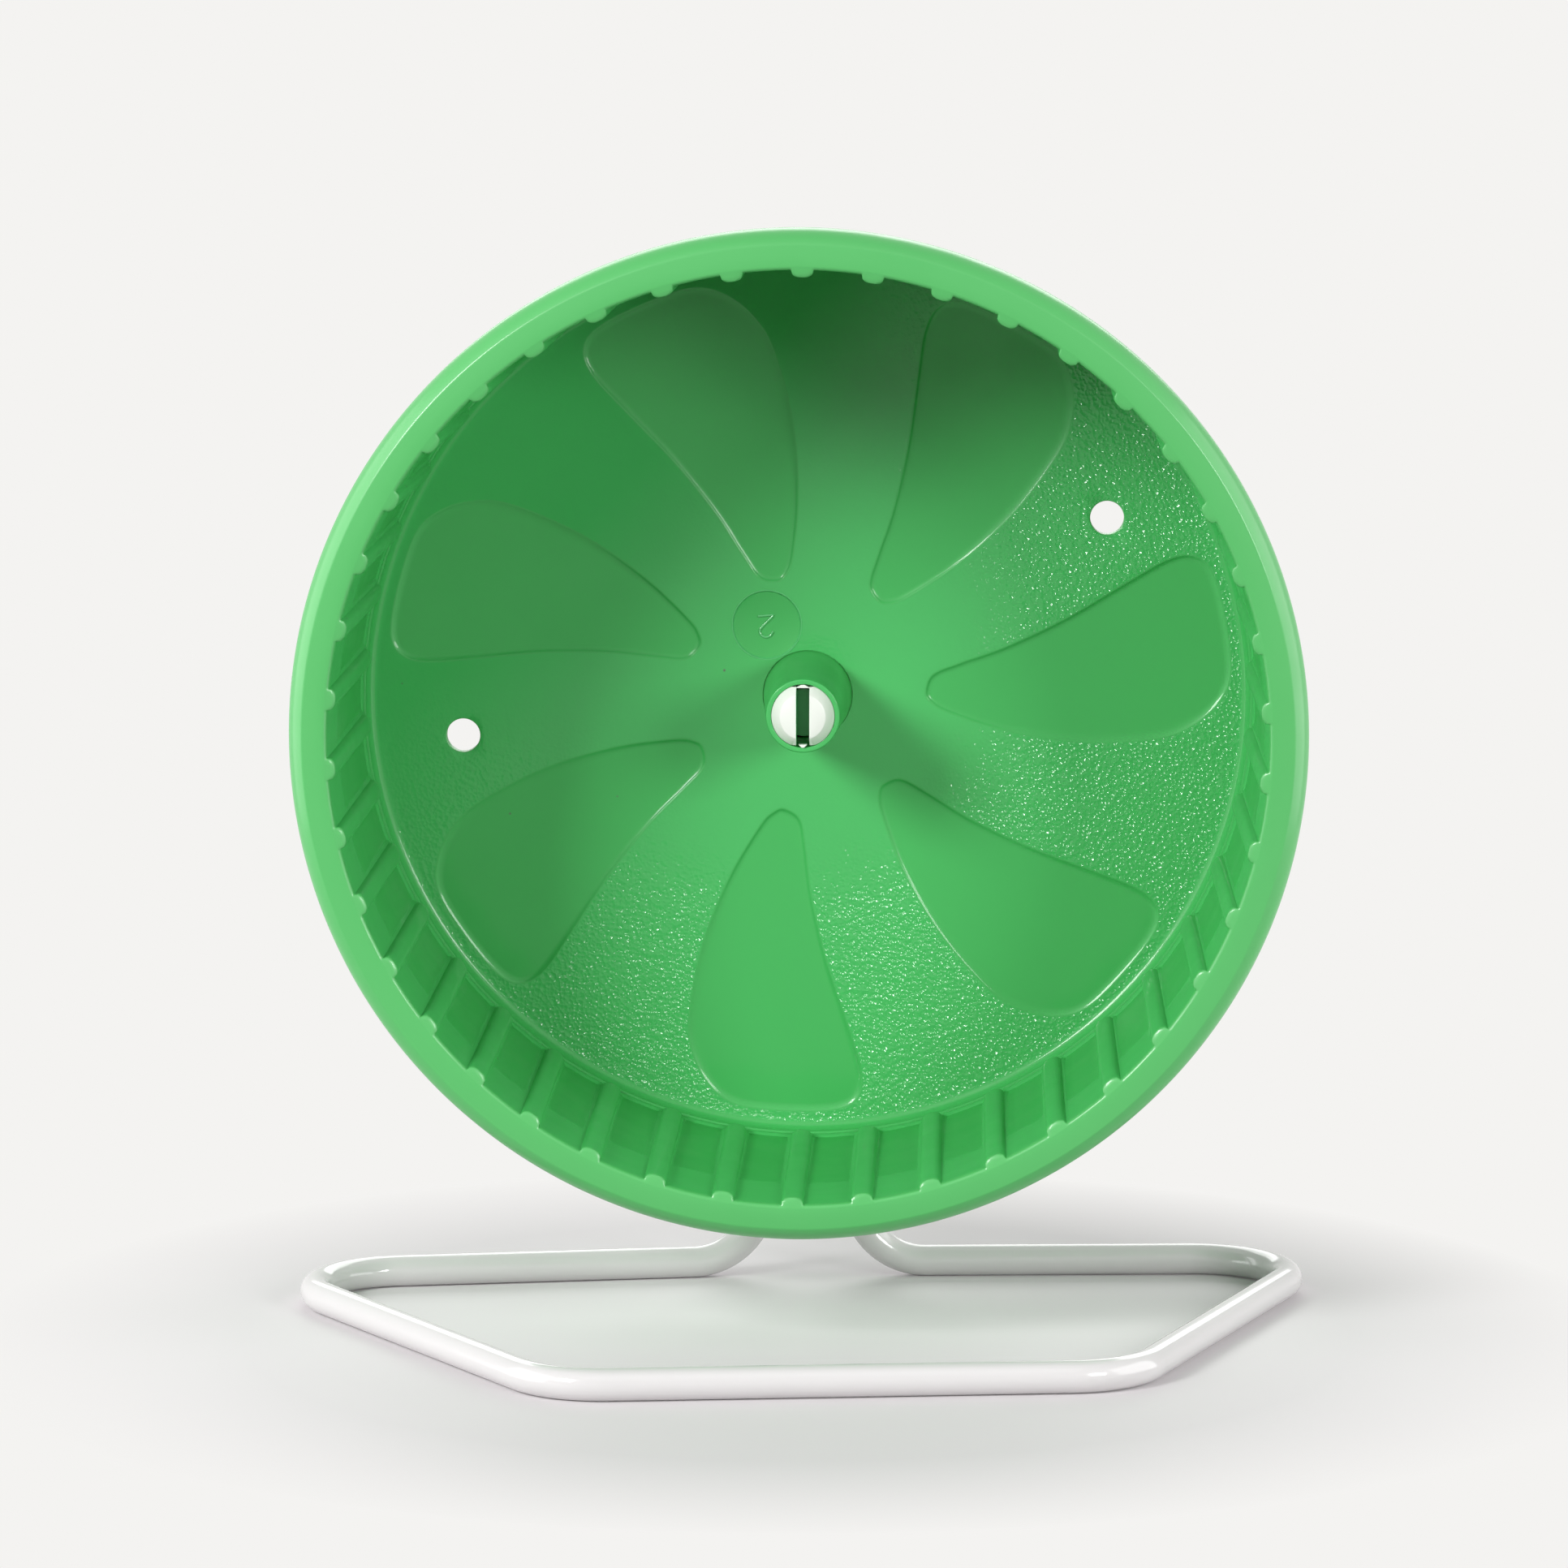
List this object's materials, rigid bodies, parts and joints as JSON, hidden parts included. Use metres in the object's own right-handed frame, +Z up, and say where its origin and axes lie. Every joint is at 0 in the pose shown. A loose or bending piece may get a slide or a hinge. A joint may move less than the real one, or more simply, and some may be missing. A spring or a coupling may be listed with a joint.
{
  "type": "hamster wheel",
  "caption": "Open running wheel for a small pet: a ribbed moulded drum on a split snap pin, carried from behind by a stand bent from one coated wire.",
  "frame": {"origin": "on the ground, under the middle of the part's outline seen from above", "axes": "+X to the right seen from the drum's open front, +Y along the axle from the open front to the back, +Z up from the ground"},
  "size_m": [0.1438, 0.0916, 0.1565],
  "materials": {
    "green_plastic": "injection moulded, glossy on the lip and blades, grained on the back wall",
    "pin_plastic": "moulded white, satin",
    "washer_plastic": "moulded white",
    "white_coating": "glossy white plastic coating on steel wire",
    "holder_plastic": "moulded white, fine satin",
    "screw_steel": "zinc plated"
  },
  "bodies": {
    "stand": {"wire_stand": "white_coating", "bracket_front": "holder_plastic", "bracket_back": "holder_plastic", "clamp_screw_upper": "screw_steel", "clamp_screw_lower": "screw_steel", "axle_pin": "pin_plastic", "thrust_washer": "washer_plastic"},
    "wheel": {"wheel_drum": "green_plastic"}
  },
  "joints": [
    {"name": "wheel_spin", "type": "hinge", "parent": "stand", "child": "wheel", "pos_m": [0.00041, -0.01569, 0.0865], "axis": [0, 1, 0], "continuous": true}
  ]
}
